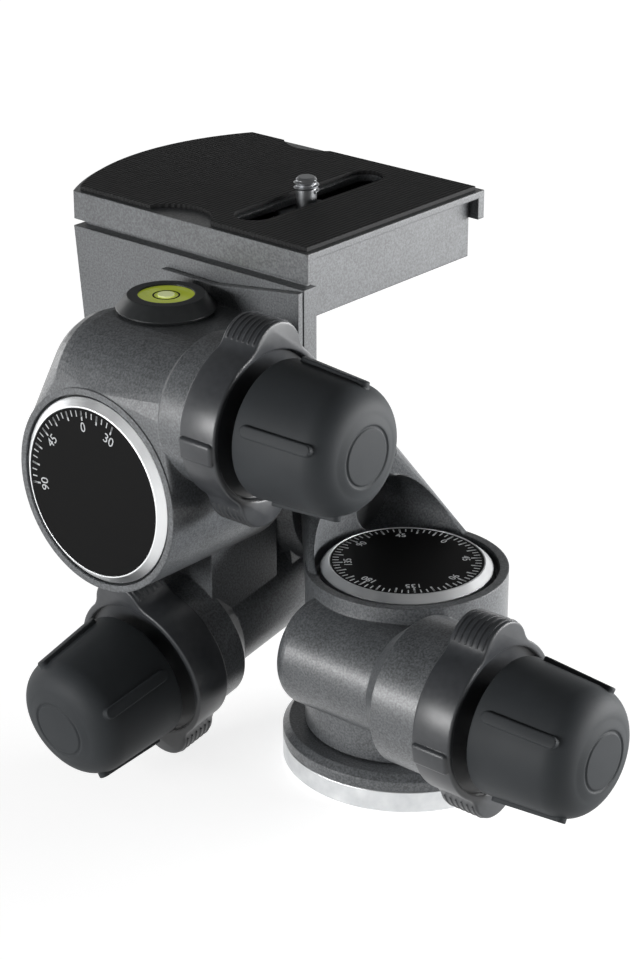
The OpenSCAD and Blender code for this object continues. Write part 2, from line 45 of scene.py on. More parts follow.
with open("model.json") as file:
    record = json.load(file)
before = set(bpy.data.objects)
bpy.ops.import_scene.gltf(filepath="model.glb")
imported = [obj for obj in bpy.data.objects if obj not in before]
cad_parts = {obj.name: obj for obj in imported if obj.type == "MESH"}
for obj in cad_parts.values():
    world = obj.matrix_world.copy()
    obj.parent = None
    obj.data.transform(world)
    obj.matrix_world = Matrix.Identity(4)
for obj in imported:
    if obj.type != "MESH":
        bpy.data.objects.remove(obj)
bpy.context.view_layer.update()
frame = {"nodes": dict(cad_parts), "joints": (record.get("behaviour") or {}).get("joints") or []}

# %% [markdown]
# ## Small tools
#
# A colour is picked on a screen as an sRGB code, but a shader counts in linear light, so one
# function converts it. A second one adds a shader node with its settings and its links, which
# keeps each material below as a short recipe from top to bottom.

# %% Colour and node helpers
def linear(code):
    """Turns an sRGB code such as '#3a3c3f' into linear red, green, blue and alpha."""
    channels = [int(code[i:i + 2], 16) / 255 for i in (1, 3, 5)]
    return [c / 12.92 if c <= 0.04045 else ((c + 0.055) / 1.055) ** 2.4 for c in channels] + [1.0]


def add(tree, kind, values=None, links=None, **settings):
    """Adds one node. values are set on its inputs, links feed its inputs from other sockets."""
    node = tree.nodes.new("ShaderNode" + kind)
    for name, value in settings.items():
        setattr(node, name, value)
    for name, value in (values or {}).items():
        node.inputs[name].default_value = value
    for name, socket in (links or {}).items():
        tree.links.new(socket, node.inputs[name])
    return node


def new_material(name):
    """An empty node material, and its tree."""
    material = bpy.data.materials.new(name)
    material.use_nodes = True
    material.node_tree.nodes.clear()
    return material, material.node_tree


# %% [markdown]
# ## Powder-coated casting
#
# The housings, the platform and the plate are cast aluminium under a textured powder coat.
# The powder melts into grains of about half a millimetre, so light breaks up into a fine
# sparkle and the colour looks mottled close by. The grains could be modelled, but that takes
# millions of faces, so a noise of their size drives a bump and a small change of tone. A
# Bevel node rounds the look of the edges by 0.6 mm, as a casting's edges are never sharp,
# without touching the measured shape.

# %% Casting
def powder_coated_casting(
    name, dark, light, grain_mm=0.5, cloud_mm=7, grain_depth_mm=0.05, edge_mm=0.6, speck_share=0.65
):
    """Aluminium die casting, shot blasted and powder coated in a fine-textured charcoal."""
    material, tree = new_material(name)
    place = add(tree, "TexCoord").outputs["Object"]
    grain = add(
        tree, "TexNoise", {"Scale": 1 / (grain_mm * MM), "Detail": 2.0, "Roughness": 0.55},
        {"Vector": place},
    ).outputs[0]
    cloud = add(
        tree, "TexNoise", {"Scale": 1 / (cloud_mm * MM), "Detail": 3.0}, {"Vector": place}
    ).outputs[0]
    speck = add(
        tree, "MapRange", {"From Min": 0.35, "From Max": 0.68, "To Min": 0.0, "To Max": 1.0},
        {"Value": grain},
    ).outputs[0]
    # the grains make most of the change of tone, and the slow clouds the rest
    blend = add(
        tree, "Math", {1: 1 - speck_share}, {0: cloud}, operation="MULTIPLY"
    ).outputs[0]
    amount = add(
        tree, "Math", {1: speck_share}, {0: speck, 2: blend}, operation="MULTIPLY_ADD"
    ).outputs[0]
    tone = add(
        tree, "MixRGB", {"Color1": linear(dark), "Color2": linear(light)}, {"Fac": amount}
    ).outputs[0]
    rounded = add(tree, "Bevel", {"Radius": edge_mm * MM}, samples=4).outputs[0]
    bump = add(
        tree, "Bump", {"Strength": 0.55, "Distance": grain_depth_mm * MM},
        {"Height": grain, "Normal": rounded},
    ).outputs[0]
    gloss = add(
        tree, "MapRange", {"From Min": 0.3, "From Max": 0.7, "To Min": 0.5, "To Max": 0.38},
        {"Value": grain},
    ).outputs[0]
    shader = add(
        tree, "BsdfPrincipled", {"IOR": 1.5, "Coat Weight": 0.5, "Coat Roughness": 0.3},
        {"Base Color": tone, "Roughness": gloss, "Normal": bump},
    )
    add(tree, "OutputMaterial", links={"Surface": shader.outputs[0]})
    return material


casting = powder_coated_casting("powder_coated_aluminium_casting", "#2a2c2e", "#6d7073")
print("made", casting.name)

# %% [markdown]
# ## Knob rubber and collar plastic
#
# The knobs are moulded in a firm rubber: it scatters light widely, so its highlight is only
# a soft glow, and its skin has a very fine grain. The release collars behind them are
# moulded in a hard, dark grey nylon with a semi-gloss skin, which gives narrow bright lines
# along its rounded edges, and the level's body and the clamp's lever in a darker one. All use
# the same idea, grain into bump, with a grain and a gloss of their own.

# %% Rubber and moulded plastic
def moulded_rubber(name, dark, light, grain_mm=0.35, wear_mm=11, edge_mm=0.5):
    """Compression-moulded rubber: matt, with a fine skin and slightly uneven tone."""
    material, tree = new_material(name)
    place = add(tree, "TexCoord").outputs["Object"]
    grain = add(
        tree, "TexNoise", {"Scale": 1 / (grain_mm * MM), "Detail": 3.0, "Roughness": 0.6},
        {"Vector": place},
    ).outputs[0]
    wear = add(
        tree, "TexNoise", {"Scale": 1 / (wear_mm * MM), "Detail": 4.0}, {"Vector": place}
    ).outputs[0]
    tone = add(
        tree, "MixRGB", {"Color1": linear(dark), "Color2": linear(light)}, {"Fac": wear}
    ).outputs[0]
    rounded = add(tree, "Bevel", {"Radius": edge_mm * MM}, samples=4).outputs[0]
    bump = add(
        tree, "Bump", {"Strength": 0.35, "Distance": 0.03 * MM},
        {"Height": grain, "Normal": rounded},
    ).outputs[0]
    shader = add(
        tree, "BsdfPrincipled", {"IOR": 1.52, "Roughness": 0.62, "Specular IOR Level": 0.25},
        {"Base Color": tone, "Normal": bump},
    )
    add(tree, "OutputMaterial", links={"Surface": shader.outputs[0]})
    return material


def moulded_plastic(name, dark, light, roughness, ripple_mm=1.6, edge_mm=0.45):
    """Injection-moulded nylon: semi-gloss, with a faint orange-peel ripple."""
    material, tree = new_material(name)
    place = add(tree, "TexCoord").outputs["Object"]
    ripple = add(
        tree, "TexNoise", {"Scale": 1 / (ripple_mm * MM), "Detail": 2.0}, {"Vector": place}
    ).outputs[0]
    tone = add(
        tree, "MixRGB", {"Color1": linear(dark), "Color2": linear(light)}, {"Fac": ripple}
    ).outputs[0]
    rounded = add(tree, "Bevel", {"Radius": edge_mm * MM}, samples=4).outputs[0]
    bump = add(
        tree, "Bump", {"Strength": 0.12, "Distance": 0.04 * MM},
        {"Height": ripple, "Normal": rounded},
    ).outputs[0]
    gloss = add(
        tree, "MapRange", {"To Min": roughness - 0.04, "To Max": roughness + 0.06},
        {"Value": ripple},
    ).outputs[0]
    shader = add(
        tree, "BsdfPrincipled", {"IOR": 1.49},
        {"Base Color": tone, "Roughness": gloss, "Normal": bump},
    )
    add(tree, "OutputMaterial", links={"Surface": shader.outputs[0]})
    return material


knob_rubber = moulded_rubber("moulded_knob_rubber", "#26292b", "#34373a")
collar_plastic = moulded_plastic("moulded_black_nylon_collar", "#303235", "#3e4043", 0.34)
level_plastic = moulded_plastic("moulded_satin_level_body", "#1d1f20", "#292b2c", 0.36)
print("made", knob_rubber.name, collar_plastic.name, level_plastic.name)

# %% [markdown]
# ## Where the dials and drives are
#
# Three dials and three worm drives repeat the same layout in three directions. Each gets a
# matrix that turns "flat on the table" into its real place, worked out from the packed
# boxes and joints: the dial's face is the far side of its box, and a drive's axis is that of
# the joint of its knob.

# %% Places
joints = {joint["name"]: joint for joint in frame["joints"]}


def knob_axis(drive):
    """Direction in which a drive's knob points."""
    return Vector(joints[drive + "_knob_turn"]["axis"]).normalized()


def middle(node):
    """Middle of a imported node's box."""
    low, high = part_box(node)
    return (low + high) / 2


QUARTER = math.radians(90)
SLOPE = math.atan2(-knob_axis("tilt").z, -knob_axis("tilt").y)    # tilt worm, below level
UP = Matrix.Identity(4)
FRONT = Matrix.Rotation(QUARTER, 4, "X")
SIDE = Matrix.Rotation(QUARTER + SLOPE, 4, "X") @ Matrix.Rotation(-QUARTER, 4, "Y")


def dial_place(dial, turn):
    """Matrix from a dial drawn on the table, face up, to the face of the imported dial."""
    low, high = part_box(dial)
    outward = (turn @ Vector((0, 0, 1, 0))).to_3d()
    half = (high - low) / 2
    reach = abs(outward.x * half.x) + abs(outward.y * half.y) + abs(outward.z * half.z)
    return Matrix.Translation(middle(dial) + outward * reach) @ turn


def dial_radius(dial):
    """Radius of a packed dial: half of its box's longest side."""
    low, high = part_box(dial)
    return max(high - low) / 2


dials = {
    "pan_dial": dial_place("pan_dial", UP),
    "roll_dial": dial_place("roll_dial", FRONT),
    "tilt_dial": dial_place("tilt_dial", SIDE),
}
for name, matrix in dials.items():
    print(name, "face at", [round(c / MM, 1) for c in matrix.translation], "mm")

# %% [markdown]
# ## Turned aluminium
#
# The base disc and the three dial rings are turned on a lathe and left bright. The tool
# leaves concentric grooves, too fine to see one by one, that stretch the highlight. They
# follow the piece's own axis, so the coordinates are first moved to it with a Mapping node.
# The grooves are drawn 0.3 mm apart, coarser than real ones, so that they just show.

# %% Turned rings
WAVE = math.tau / 20     # a Wave texture of scale 1 repeats after this length


def turned_aluminium(name, place, tint, roughness, shine="#eceded", groove_mm=0.3):
    """Bright aluminium, turned: concentric grooves about the axis of its own ring."""
    material, tree = new_material(name)
    back = place.inverted()
    centred = add(
        tree, "Mapping",
        {"Location": back.translation, "Rotation": back.to_euler()},
        {"Vector": add(tree, "TexCoord").outputs["Object"]},
    ).outputs[0]
    grooves = add(
        tree, "TexWave", {"Scale": WAVE / (groove_mm * MM), "Distortion": 0.6, "Detail": 2.0},
        {"Vector": centred}, wave_type="RINGS", rings_direction="Z",
    ).outputs["Fac"]
    dirt = add(
        tree, "TexNoise", {"Scale": 1 / (4 * MM), "Detail": 4.0}, {"Vector": centred}
    ).outputs[0]
    tone = add(
        tree, "MixRGB", {"Color1": linear(tint), "Color2": linear(shine)}, {"Fac": dirt}
    ).outputs[0]
    gloss = add(
        tree, "MapRange", {"To Min": roughness - 0.05, "To Max": roughness + 0.07}, {"Value": dirt}
    ).outputs[0]
    rounded = add(tree, "Bevel", {"Radius": 0.25 * MM}, samples=4).outputs[0]
    bump = add(
        tree, "Bump", {"Strength": 0.15, "Distance": 0.01 * MM},
        {"Height": grooves, "Normal": rounded},
    ).outputs[0]
    shader = add(
        tree, "BsdfPrincipled", {"Metallic": 1.0},
        {"Base Color": tone, "Roughness": gloss, "Normal": bump},
    )
    add(tree, "OutputMaterial", links={"Surface": shader.outputs[0]})
    return material


bright_rings = {
    "pan_bezel": turned_aluminium("turned_pan_ring", dials["pan_dial"], "#e4e6e8", 0.42),
    "roll_bezel": turned_aluminium("turned_roll_ring", dials["roll_dial"], "#e4e6e8", 0.42),
    "tilt_bezel": turned_aluminium("turned_tilt_ring", dials["tilt_dial"], "#e4e6e8", 0.3),
    "base_disc": turned_aluminium("turned_base_disc", UP, "#b9bcbf", 0.38),
}
print("made", len(bright_rings), "turned finishes")

# %% [markdown]
# ## Steel and brass inside
#
# The shafts, worms and sleeves are ground steel, and the worm wheels and bushes are brass.
# Hardly any of it shows from outside, but the plate's screw does, and the wheels show when
# the head is opened. A noise squeezed along Z gives fine streaks, which stand for the
# grinding: it needs no picture of a ground surface and has no seam.

# %% Machined metals
def machined_metal(name, dark, light, roughness, streak_mm=1.6, width_mm=0.2):
    """Ground or hobbed metal: full metal, with fine streaks of gloss that lie flat."""
    material, tree = new_material(name)
    squeezed = add(
        tree, "Mapping", {"Scale": (1, 1, streak_mm / width_mm)},
        {"Vector": add(tree, "TexCoord").outputs["Object"]},
    ).outputs[0]
    streaks = add(
        tree, "TexNoise", {"Scale": 1 / (streak_mm * MM), "Detail": 3.0}, {"Vector": squeezed}
    ).outputs[0]
    tone = add(
        tree, "MixRGB", {"Color1": linear(dark), "Color2": linear(light)}, {"Fac": streaks}
    ).outputs[0]
    gloss = add(
        tree, "MapRange", {"To Min": roughness - 0.08, "To Max": roughness + 0.08},
        {"Value": streaks},
    ).outputs[0]
    rounded = add(tree, "Bevel", {"Radius": 0.2 * MM}, samples=4).outputs[0]
    bump = add(
        tree, "Bump", {"Strength": 0.1, "Distance": 0.01 * MM},
        {"Height": streaks, "Normal": rounded},
    ).outputs[0]
    shader = add(
        tree, "BsdfPrincipled", {"Metallic": 1.0},
        {"Base Color": tone, "Roughness": gloss, "Normal": bump},
    )
    add(tree, "OutputMaterial", links={"Surface": shader.outputs[0]})
    return material


steel = machined_metal("ground_steel", "#85878a", "#a6a8aa", 0.36)
brass = machined_metal("hobbed_brass", "#b08d4a", "#cdac68", 0.34)
print("made", steel.name, brass.name)

# %% [markdown]
# ## Dial black, ink and pad rubber
#
# The dials are anodised black and carry printed marks in an off-white ink. The pad on the
# plate is black rubber, moulded with fine straight ribs about 1.2 mm apart that grip a
# camera's base. The ribs are a wave along X, deep enough to break up the light.

# %% Dials, ink and pad
def anodised_black(name):
    """Dull black anodised aluminium disc with a fine blasted grain."""
    material, tree = new_material(name)
    place = add(tree, "TexCoord").outputs["Object"]
    grain = add(
        tree, "TexNoise", {"Scale": 1 / (0.3 * MM), "Detail": 2.0}, {"Vector": place}
    ).outputs[0]
    tone = add(
        tree, "MixRGB", {"Color1": linear("#020202"), "Color2": linear("#080809")}, {"Fac": grain}
    ).outputs[0]
    bump = add(
        tree, "Bump", {"Strength": 0.08, "Distance": 0.02 * MM}, {"Height": grain}
    ).outputs[0]
    shader = add(
        tree, "BsdfPrincipled", {"Roughness": 0.5, "Specular IOR Level": 0.08},
        {"Base Color": tone, "Normal": bump},
    )
    add(tree, "OutputMaterial", links={"Surface": shader.outputs[0]})
    return material


def screen_ink(name, dark, light):
    """Screen-printed ink: matt, a little thinner in places."""
    material, tree = new_material(name)
    place = add(tree, "TexCoord").outputs["Object"]
    cover = add(
        tree, "TexNoise", {"Scale": 1 / (0.5 * MM), "Detail": 2.0}, {"Vector": place}
    ).outputs[0]
    tone = add(
        tree, "MixRGB", {"Color1": linear(dark), "Color2": linear(light)}, {"Fac": cover}
    ).outputs[0]
    shader = add(tree, "BsdfPrincipled", {"Roughness": 0.6}, {"Base Color": tone})
    add(tree, "OutputMaterial", links={"Surface": shader.outputs[0]})
    return material


def ribbed_rubber(name, rib_mm=1.2, rib_depth_mm=0.25):
    """Moulded black rubber pad with straight ribs, rib_mm from one to the next, each with a painted
    highlight.
    """
    material, tree = new_material(name)
    place = add(tree, "TexCoord").outputs["Object"]
    ribs = add(
        tree, "TexWave", {"Scale": WAVE / (rib_mm * MM)}, {"Vector": place},
        wave_type="BANDS", bands_direction="X",
    ).outputs["Fac"]
    dust = add(
        tree, "TexNoise", {"Scale": 1 / (1.5 * MM), "Detail": 4.0}, {"Vector": place}
    ).outputs[0]
    tone = add(
        tree, "MixRGB", {"Color1": linear("#070707"), "Color2": linear("#101011")}, {"Fac": dust}
    ).outputs[0]
    # painted highlight: the rib wave mixes a lighter grey into the crest of every rib
    lit = add(
        tree, "MixRGB", {"Color2": linear("#161718")}, {"Fac": ribs, "Color1": tone}
    ).outputs[0]
    bump = add(
        tree, "Bump", {"Strength": 0.6, "Distance": rib_depth_mm * MM}, {"Height": ribs}
    ).outputs[0]
    shader = add(
        tree, "BsdfPrincipled", {"IOR": 1.52, "Roughness": 0.72, "Specular IOR Level": 0.3},
        {"Base Color": lit, "Normal": bump},
    )
    add(tree, "OutputMaterial", links={"Surface": shader.outputs[0]})
    return material


dial_black = anodised_black("black_anodised_dial")
dial_ink = screen_ink("screen_printed_ink", "#b4b7b9", "#d4d6d8")
pad_rubber = ribbed_rubber("ribbed_pad_rubber")
print("made", dial_black.name, dial_ink.name, pad_rubber.name)

# %% [markdown]
# ## The spirit level
#
# The vial is a clear acrylic cell of yellow-green fluid with an air bubble under its lid.
# Real fluid glows because light enters from all sides. Traced light would need a clear cell
# with a fluid inside it, so a strong base colour under a smooth coat, a little transmission
# and a faint glow stand for it.

# %% Level fluid and bubble
def level_fluid(name, deep, bright, transmission):
    """Acrylic cell of tinted spirit: glossy and partly clear, with a faint painted glow."""
    material, tree = new_material(name)
    place = add(tree, "TexCoord").outputs["Object"]
    depth = add(
        tree, "TexNoise", {"Scale": 1 / (5 * MM), "Detail": 1.0}, {"Vector": place}
    ).outputs[0]
    tone = add(
        tree, "MixRGB", {"Color1": linear(deep), "Color2": linear(bright)}, {"Fac": depth}
    ).outputs[0]
    # the emission is a painted glow, which stands for light that enters the fluid from all sides
    shader = add(
        tree, "BsdfPrincipled",
        {
            "IOR": 1.49, "Roughness": 0.08, "Transmission Weight": transmission,
            "Coat Weight": 0.6, "Emission Color": linear(deep), "Emission Strength": 0.3,
        },
        {"Base Color": tone},
    )
    add(tree, "OutputMaterial", links={"Surface": shader.outputs[0]})
    return material


vial_fluid = level_fluid("tinted_spirit_in_acrylic", "#c2d23a", "#e6ec72", 0.05)
bubble_air = level_fluid("air_bubble", "#e6edb0", "#f8fae0", 0.1)
print("made", vial_fluid.name, bubble_air.name)

# %% [markdown]
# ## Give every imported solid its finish
#
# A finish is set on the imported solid's own material slot, and its shape stays as it is. The
# solids are listed by what they are made of. The bright rings and the base disc differ one by
# one, because their grooves run round different axes, and all that isn't listed is ground
# steel.

# %% Assign the finishes
finished_in = [
    (casting, (
        "base_ring", "pan_housing", "pan_end_cap", "tilt_housing", "roll_end_cap",
        "tilt_end_cap", "platform_bracket", "camera_plate",
    )),
    (knob_rubber, ("pan_knob", "tilt_knob", "roll_knob")),
    (collar_plastic, ("pan_collar", "tilt_collar", "roll_collar")),
    (dial_black, ("pan_dial", "tilt_dial", "roll_dial")),
    (brass, (
        "pan_wheel", "tilt_wheel", "roll_wheel", "pan_bushes", "tilt_bushes", "roll_bushes",
    )),
    (pad_rubber, ("plate_pad",)),
    (level_plastic, ("level_body", "clamp_lever")),
    (vial_fluid, ("level_vial",)),
    (bubble_air, ("level_bubble",)),
]
finish_of = {node: finish for finish, nodes in finished_in for node in nodes}
finish_of.update(bright_rings)
for name, solid in frame["nodes"].items():
    solid.data.materials.clear()
    solid.data.materials.append(finish_of.get(name, steel))
print("finished", len(frame["nodes"]), "packed solids")

# %% [markdown]
# ## Tools for new pieces
#
# New pieces are started from a primitive near the origin, shaped there, and then moved into
# place with a matrix on their mesh, so that the finished object stays at the origin like the
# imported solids. A shape that repeats is modelled once and copied, each copy with its own mesh.

# %% Piece helpers
def deselect():
    bpy.ops.object.select_all(action="DESELECT")


def pick(piece):
    """Selects one piece alone and makes it the active one, as a click does."""
    deselect()
    piece.select_set(True)
    bpy.context.view_layer.objects.active = piece


def settle(piece):
    """Puts a piece's own location, turn and scale into its mesh."""
    pick(piece)
    bpy.ops.object.transform_apply(location=True, rotation=True, scale=True)


def apply_modifier(piece, kind, **settings):
    """Adds a modifier with its settings and applies it."""
    modifier = piece.modifiers.new(kind.lower(), kind)
    for name, value in settings.items():
        setattr(modifier, name, value)
    pick(piece)
    bpy.ops.object.modifier_apply(modifier=modifier.name)


def copies(model, places):
    """One copy of model at each matrix. The model itself is used up."""
    twins = []
    for place in places:
        twin = model.copy()
        twin.data = model.data.copy()
        twin.data.transform(place)
        bpy.context.collection.objects.link(twin)
        twins.append(twin)
    bpy.data.objects.remove(model)
    return twins


def join(pieces, name):
    """Makes several pieces one, under a new name."""
    pick(pieces[0])
    for piece in pieces[1:]:
        piece.select_set(True)
    bpy.ops.object.join()
    joined = bpy.context.object
    joined.name = name
    joined.data.name = name
    return joined


def dress(piece, material, body, smooth=40):
    """Last step of every new piece: finish, shading and the body that carries it."""
    piece.data.materials.clear()
    piece.data.materials.append(material)
    pick(piece)
    bpy.ops.object.shade_smooth_by_angle(angle=math.radians(smooth))
    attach(piece, body)
    print(piece.name, len(piece.data.polygons), "faces on", body)


# %% [markdown]
# ## Printed scales
#
# Each dial has a scale in white ink: fine ticks every 5 degrees, longer ones every 15, and
# numbers inside them. A picture of a scale would blur close by, so the marks are thin solids.
# A tick is a small plane given its ink's thickness with Solidify, copied round the dial. The
# numbers are text objects turned to meshes first, because a text object can't keep a place
# in its mesh.

# %% Scale marks
INK = 0.04 * MM         # drawn thicker than real ink, so that it stays clear of the dial
FINE, LONG = (0.28 * MM, 1.5 * MM), (0.42 * MM, 2.4 * MM)     # width and length of a tick
FINE_STEP, LONG_STEP = 5, 15                                  # degrees
RIM = 0.5 * MM          # bare edge outside the ticks


def tick(width, length, radius):
    """One printed line whose outer end is at radius."""
    deselect()
    bpy.ops.mesh.primitive_plane_add(size=1, location=(0, radius - length / 2, 0))
    line = bpy.context.object
    line.scale = (width, length, 1)
    settle(line)
    apply_modifier(line, "SOLIDIFY", thickness=INK, offset=1)
    return line


def turned(degrees):
    """Matrix that carries something at twelve o'clock clockwise round the dial."""
    return Matrix.Rotation(math.radians(-degrees), 4, "Z")


def number(words, size, radius, degrees):
    """A number whose middle is at radius, with its head outward."""
    deselect()
    bpy.ops.object.text_add(location=(0, 0, 0))
    text = bpy.context.object
    text.data.body = words
    text.data.size = size
    text.data.align_x = "CENTER"
    text.data.align_y = "CENTER"
    text.data.resolution_u = 4
    text.data.extrude = INK / 2
    bpy.ops.object.convert(target="MESH")
    digits = bpy.context.object
    digits.data.transform(turned(degrees) @ Matrix.Translation((0, radius, INK / 2)))
    return digits


def printed_scale(dial, body, numbers, first, last, size):
    """Ticks from first to last degrees on the dial, and numbers given as {degrees: words}."""
    edge = dial_radius(dial) - RIM
    marks = []
    for (width, length), step in ((FINE, FINE_STEP), (LONG, LONG_STEP)):
        marks += copies(
            tick(width, length, edge), [turned(a) for a in range(first, last + 1, step)]
        )
    radius = edge - LONG[1] - size / 2
    marks += [number(words, size, radius, a) for a, words in numbers.items()]
    scale = join(marks, dial + "_scale")
    scale.data.transform(dials[dial])
    dress(scale, dial_ink, body)


ZERO = -8     # where the zero of the roll and tilt scales stands, clockwise from the top
level_numbers = {ZERO - 90: "90", ZERO - 45: "45", ZERO: "0", ZERO + 30: "30"}
for dial, body, size in (("roll_dial", "platform", 3.4 * MM), ("tilt_dial", "pan_body", 3.0 * MM)):
    printed_scale(dial, body, level_numbers, ZERO - 90, ZERO + 30, size)
pan_numbers = {a: str(min(a, 360 - a)) for a in range(0, 360, 45)}
printed_scale("pan_dial", "base", pan_numbers, 0, 360 - FINE_STEP, 2.7 * MM)

# %% [markdown]
# ## Knobs
#
# A knob is a rubber sleeve that tapers a little toward a domed end. It could be a cylinder,
# scaled and bevelled, but a knob is round all through, so one profile turned about the axis
# with Spin gives it whole, from the boss behind it to the shallow ring pressed into its end.
# Four bars with round ends stand on it for the fingers. A bar is a plane made long, thickened
# by Solidify and rounded by a bevel of its ends first and of its edges next.

# %% Turned forms and finger bars
def turned_profile(points, name, steps=96, closed=False):
    """A solid of revolution about Z from (radius, height) points, made with Spin."""
    mesh = bpy.data.meshes.new(name)
    edges = [(i, i + 1) for i in range(len(points) - 1)]
    if closed:
        edges.append((len(points) - 1, 0))
    mesh.from_pydata([(r, 0, z) for r, z in points], edges, [])
    piece = bpy.data.objects.new(name, mesh)
    bpy.context.collection.objects.link(piece)
    pick(piece)
    bpy.ops.object.mode_set(mode="EDIT")
    bpy.ops.mesh.select_all(action="SELECT")
    bpy.ops.mesh.spin(steps=steps, angle=math.tau, center=(0, 0, 0), axis=(0, 0, 1))
    bpy.ops.mesh.select_all(action="SELECT")
    bpy.ops.mesh.remove_doubles(threshold=0.001 * MM)
    bpy.ops.mesh.normals_make_consistent(inside=False)
    bpy.ops.object.mode_set(mode="OBJECT")
    return piece


def arc(centre, radius, start, stop, count):
    """Points of an arc in (radius, height), from start to stop degrees."""
    angles = [math.radians(start + (stop - start) * i / count) for i in range(count + 1)]
    return [(centre[0] + radius * math.cos(a), centre[1] + radius * math.sin(a)) for a in angles]


KNOB_R, KNOB_L, TIP_R, ROUND = 16.5 * MM, 26 * MM, 15.5 * MM, 7 * MM
BOSS_R, BOSS_L, BORE_R, BORE_L = 12 * MM, 2.2 * MM, 4 * MM, 20 * MM
BAR_L, BAR_W, BAR_H, BAR_LEAN = 19.5 * MM, 2.8 * MM, 3.0 * MM, math.radians(4.2)
BAR_PROUD, BAR_FOOT = 0.9 * MM, 2.5 * MM     # how far it stands out, and where it starts


def finger_bar():
    """Bar with round ends along Z, on the knob at twelve o'clock. It leans with the taper."""
    deselect()
    bpy.ops.mesh.primitive_plane_add(size=1, location=(0, 0, 0))
    bar = bpy.context.object
    bar.scale = (BAR_W, BAR_L, 1)
    settle(bar)
    # just under half the width, so that the two round corners of an end don't meet
    apply_modifier(bar, "BEVEL", width=BAR_W / 2 - 0.02 * MM, segments=6, affect="VERTICES")
    apply_modifier(bar, "SOLIDIFY", thickness=BAR_H, offset=-1)
    apply_modifier(bar, "BEVEL", width=0.35 * MM, segments=3, limit_method="ANGLE")
    bar.data.transform(
        Matrix.Translation((0, KNOB_R + BAR_PROUD, BAR_FOOT)) @ Matrix.Rotation(BAR_LEAN, 4, "X")
        @ Matrix.Translation((0, 0, BAR_L / 2)) @ Matrix.Rotation(-QUARTER, 4, "X")
    )
    return bar


def knob_sleeve():
    """The rubber sleeve about Z, from its foot at 0 to its end at KNOB_L."""
    foot = [
        (BOSS_R, 0), (KNOB_R - 0.8 * MM, 0), (KNOB_R - 0.2 * MM, 0.2 * MM), (KNOB_R, 0.8 * MM),
    ]
    dome = arc((TIP_R - ROUND, KNOB_L - 0.8 * MM - ROUND), ROUND, 4, 84, 14)
    ring = [(8.0, 25.7), (7.4, 25.75), (7.1, 25.5), (6.8, 25.5), (6.5, 25.8), (3.0, 25.95), (0, 26)]
    end = [(r * MM, z * MM) for r, z in ring]
    inside = [(0, BORE_L), (BORE_R, BORE_L), (BORE_R, -BOSS_L), (BOSS_R, -BOSS_L)]
    return turned_profile(foot + dome + end + inside, "knob_sleeve", closed=True)


# %% [markdown]
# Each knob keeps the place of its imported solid. It can turn freely, so it is turned until one
# of its bars points as in the photograph.

# %% Three knobs
DRIVES = ("pan", "tilt", "roll")
BAR_TOWARD = {
    "pan": (0, -0.839, 0.545), "roll": (0, -0.951, 0.309), "tilt": (0.891, -0.084, 0.446),
}


def knob_place(drive):
    """Matrix at the foot of a knob, with Z along its axis and Y toward one bar."""
    axis = knob_axis(drive)
    origin = Vector(joints[drive + "_knob_turn"]["pos_m"])
    end = max((v.co - origin).dot(axis) for v in frame["nodes"][drive + "_knob"].data.vertices)
    toward = Vector(BAR_TOWARD[drive])
    y = (toward - axis * toward.dot(axis)).normalized()
    turn = Matrix((y.cross(axis), y, axis)).transposed().to_4x4()
    return Matrix.Translation(origin + axis * (end - KNOB_L)) @ turn


for drive in DRIVES:
    quarters = [Matrix.Rotation(QUARTER * i, 4, "Z") for i in range(4)]
    knob = join([knob_sleeve()] + copies(finger_bar(), quarters), drive + "_rubber_knob")
    knob.data.transform(knob_place(drive))
    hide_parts(drive + "_knob")
    dress(knob, knob_rubber, drive + "_drive", smooth=35)

# %% [markdown]
# ## The release collars
#
# Behind each knob a collar with two round lobes is twisted to lift the worm out of mesh. Its
# outline is a disc and two lobes joined by hollow waists, all arcs that touch without a
# corner. Three cylinders would leave corners between them, so the outline is worked out and
# becomes a face, Solidify makes it a slab, a turned cutter takes out the bore and the pocket
# behind the knob, and a bevel rounds every edge, which then catches the light in thin lines.

# %% Collar
COLLAR_R, LOBE_R, LOBE_TIP, WAIST_R = 19.4 * MM, 8 * MM, 24.4 * MM, 6 * MM
COLLAR_T, EYE_R, POCKET_R, POCKET_T = 10.5 * MM, 7 * MM, 17.7 * MM, 2 * MM
EDGE_R = 0.5 * MM
LOBE_Y = LOBE_TIP - LOBE_R     # middle of the upper lobe


def collar_outline():
    """Points round the collar, with its lobes above and below."""
    # a waist's centre lies big from the disc's centre and small from the lobe's
    big, small = COLLAR_R + WAIST_R, LOBE_R + WAIST_R
    y = (big**2 - small**2 + LOBE_Y**2) / (2 * LOBE_Y)
    x = math.sqrt(big**2 - y**2)
    disc = math.degrees(math.atan2(y, x))
    lobe = math.degrees(math.atan2(y - LOBE_Y, x))
    half = arc((0, 0), COLLAR_R, -disc, disc, 40)
    half += arc((x, y), WAIST_R, 180 + disc, 180 + lobe, 8)[1:-1]
    half += arc((0, LOBE_Y), LOBE_R, lobe, 180 - lobe, 32)
    half += arc((-x, y), WAIST_R, -lobe, -disc, 8)[1:-1]
    return half + [(-px, -py) for px, py in half]


